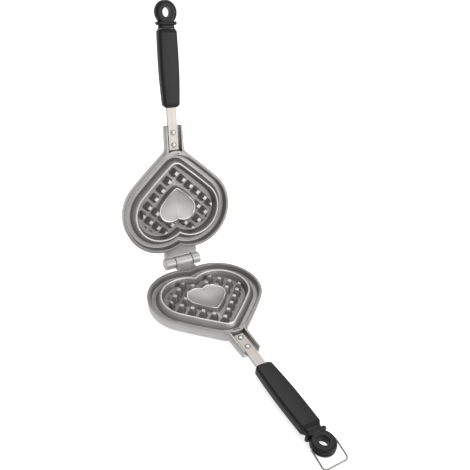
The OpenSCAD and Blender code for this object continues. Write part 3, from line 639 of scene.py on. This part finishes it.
# Each end ring is moulded apart from its grip, from the same black phenolic, and pressed on the
# strap's tail: a neck, a round bead across it, and a thick ring to hang the iron by.
RING_Y, RING_R, HOLE_R, RING_HALF, RING_EDGE, HOLE_EDGE = 247.2, 13.5, 5.6, 5.0, 3.2, 0.5
GROOVE_HALF, GROOVE_FLOOR, GROOVE_DEPTH, BEAD_Y, BEAD_R = 0.6, 0.35, 0.7, 235.15, 2.2
PIVOT_R, PIVOT_START, PIVOT_STOP = 0.955, 9.1, 15.0
bead_arc = arc(0, 0, BEAD_R, 180, 0, 12)
v = np.concatenate([[229.0, 229.1, 231.0, 232.9], BEAD_Y + bead_arc[:, 0], [237.6, 240.6]])
width = np.concatenate([[10.0, 10.4, 9.8, 9.7], 10.5 + bead_arc[:, 1], [9.5, 9.5]])
thick = np.concatenate([[4.2, 4.6, 4.6, 4.6], 4.0 + bead_arc[:, 1], [4.6, 4.6]])
neck = handle_skin(v, width, thick, np.minimum(thick - 0.4, 3.8))
profile = np.vstack([
    arc(HOLE_R + HOLE_EDGE, HOLE_EDGE - RING_HALF, HOLE_EDGE, 180, 270, 4),
    arc(RING_R - RING_EDGE, RING_EDGE - RING_HALF, RING_EDGE, -90, 0, 9),
    [[RING_R, -GROOVE_HALF], [RING_R - GROOVE_DEPTH, -GROOVE_FLOOR],
     [RING_R - GROOVE_DEPTH, GROOVE_FLOOR], [RING_R, GROOVE_HALF]],
    arc(RING_R - RING_EDGE, RING_HALF - RING_EDGE, RING_EDGE, 0, 90, 9),
    arc(HOLE_R + HOLE_EDGE, RING_HALF - HOLE_EDGE, HOLE_EDGE, 90, 180, 4),
])


def revolved_ring(profile, steps=96):
    """A closed (radius, height) profile turned once about the hanging hole."""
    t = np.linspace(0, 2 * np.pi, steps, endpoint=False)
    r, z = profile[:, :1], profile[:, 1:]
    grid = np.stack([r * np.cos(t), r * np.sin(t) - RING_Y,
                     np.broadcast_to(z - HANDLE_DROP, (len(profile), steps))], axis=2)
    n, m = grid.shape[:2]
    i, j = np.meshgrid(np.arange(n), np.arange(m), indexing="ij")
    up, on = (i + 1) % n, (j + 1) % m
    quads = np.stack([i * m + j, i * m + on, up * m + on, up * m + j], axis=2)
    return grid.reshape(-1, 3), quads.reshape(-1, 4).tolist()


solid_ring = worked("ring", revolved_ring(profile), add=[neck])
pivot = rod(-RING_Y, -HANDLE_DROP, PIVOT_START, PIVOT_STOP, PIVOT_R, 32)
drilled = worked("drilled", solid_ring, cut=[pivot, flipped(pivot)])
for half, place, ring in (("lower", as_lower, drilled), ("upper", as_upper, solid_ring)):
    obj = piece(half + "_moulded_ring", place(ring[0]), ring[1], sharp=45)
    obj.data.materials.append(black)
    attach(obj, half + "_half")
    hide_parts(half + "_end_ring")

# A plain white table under the iron, two broad soft lamps, and the camera where the photograph
# was taken from. It was solved from the two heart outlines and then fitted by a fine shift,
# scale and turn of the render.
WIDE, BELOW, TABLE_GLOW, ROOM_LIGHT = 4.0, -0.0002, 0.68, 0.55
mesh = bpy.data.meshes.new("table")
mesh.from_pydata([(x * WIDE, y * WIDE, BELOW) for x, y in ((-1, -1), (1, -1), (1, 1), (-1, 1))],
                 [], [(0, 1, 2, 3)])
table = bpy.data.objects.new("table", mesh)
bpy.context.scene.collection.objects.link(table)
paper, tree, shader = new_material("table_white")
shader.inputs["Base Color"].default_value = (0.85, 0.85, 0.85, 1)
shader.inputs["Roughness"].default_value = 0.9
shader.inputs["Emission Color"].default_value = (1, 1, 1, 1)


def seen_directly(tree):
    """1 for a ray that comes from the camera, a mirror or glass: the greatest of the three."""
    path = tree.nodes.new("ShaderNodeLightPath")
    greatest = path.outputs["Is Camera Ray"]
    for ray in ("Is Glossy Ray", "Is Transmission Ray"):
        either = tree.nodes.new("ShaderNodeMath")
        either.operation = "MAXIMUM"
        link(tree, greatest, either.inputs[0])
        link(tree, path.outputs[ray], either.inputs[1])
        greatest = either.outputs["Value"]
    return greatest


# The table glows only where it is seen directly, so that it shows white and keeps the shadow.
lift = tree.nodes.new("ShaderNodeMath")
lift.operation = "MULTIPLY"
lift.inputs[1].default_value = TABLE_GLOW
link(tree, seen_directly(tree), lift.inputs[0])
link(tree, lift.outputs["Value"], shader.inputs["Emission Strength"])
mesh.materials.append(paper)

# The room is white where it is seen directly, and every other ray meets it at ROOM_LIGHT.
world = bpy.data.worlds.new("studio")
bpy.context.scene.world = world
world.use_nodes = True
tree = world.node_tree
tree.nodes.clear()
out = tree.nodes.new("ShaderNodeOutputWorld")
soft = tree.nodes.new("ShaderNodeBackground")
soft.inputs["Color"].default_value = (1, 1, 1, 1)
soft.inputs["Strength"].default_value = ROOM_LIGHT
white = tree.nodes.new("ShaderNodeBackground")
white.inputs["Color"].default_value = (1, 1, 1, 1)
mix = tree.nodes.new("ShaderNodeMixShader")
link(tree, seen_directly(tree), mix.inputs["Fac"])
link(tree, soft.outputs["Background"], mix.inputs[1])
link(tree, white.outputs["Background"], mix.inputs[2])
link(tree, mix.outputs["Shader"], out.inputs["Surface"])

for name, spot, size, power in (("back", (0.32, 0.38, 1.35), 0.9, 8),
                                ("front", (0.7, -1.2, 0.5), 0.9, 10)):
    lamp = bpy.data.lights.new(name, "AREA")
    lamp.shape, lamp.size, lamp.energy = "DISK", size, power
    obj = bpy.data.objects.new(name, lamp)
    obj.location = spot
    obj.rotation_euler = (Vector((0, 0, 0.05)) - Vector(spot)).to_track_quat("-Z", "Y").to_euler()
    bpy.context.scene.collection.objects.link(obj)

camera = bpy.data.cameras.new("camera")
FOCAL, FRAME, SENSOR, STAND = 514.15, 470, 36.0, (-0.26643, -0.45464, 0.43675)
camera.sensor_width, camera.lens = SENSOR, FOCAL / FRAME * SENSOR
camera.clip_start = 0.01
right = Vector((0.86011, -0.50160, 0.09280))
ahead = Vector((0.46866, 0.70518, -0.53206))
up = Vector((0.20144, 0.50112, 0.84161))
obj = bpy.data.objects.new("camera", camera)
obj.matrix_world = Matrix((
    (right.x, up.x, -ahead.x, STAND[0]), (right.y, up.y, -ahead.y, STAND[1]),
    (right.z, up.z, -ahead.z, STAND[2]), (0, 0, 0, 1)))
bpy.context.scene.collection.objects.link(obj)
bpy.context.scene.camera = obj
bpy.context.scene.view_settings.view_transform = "Standard"
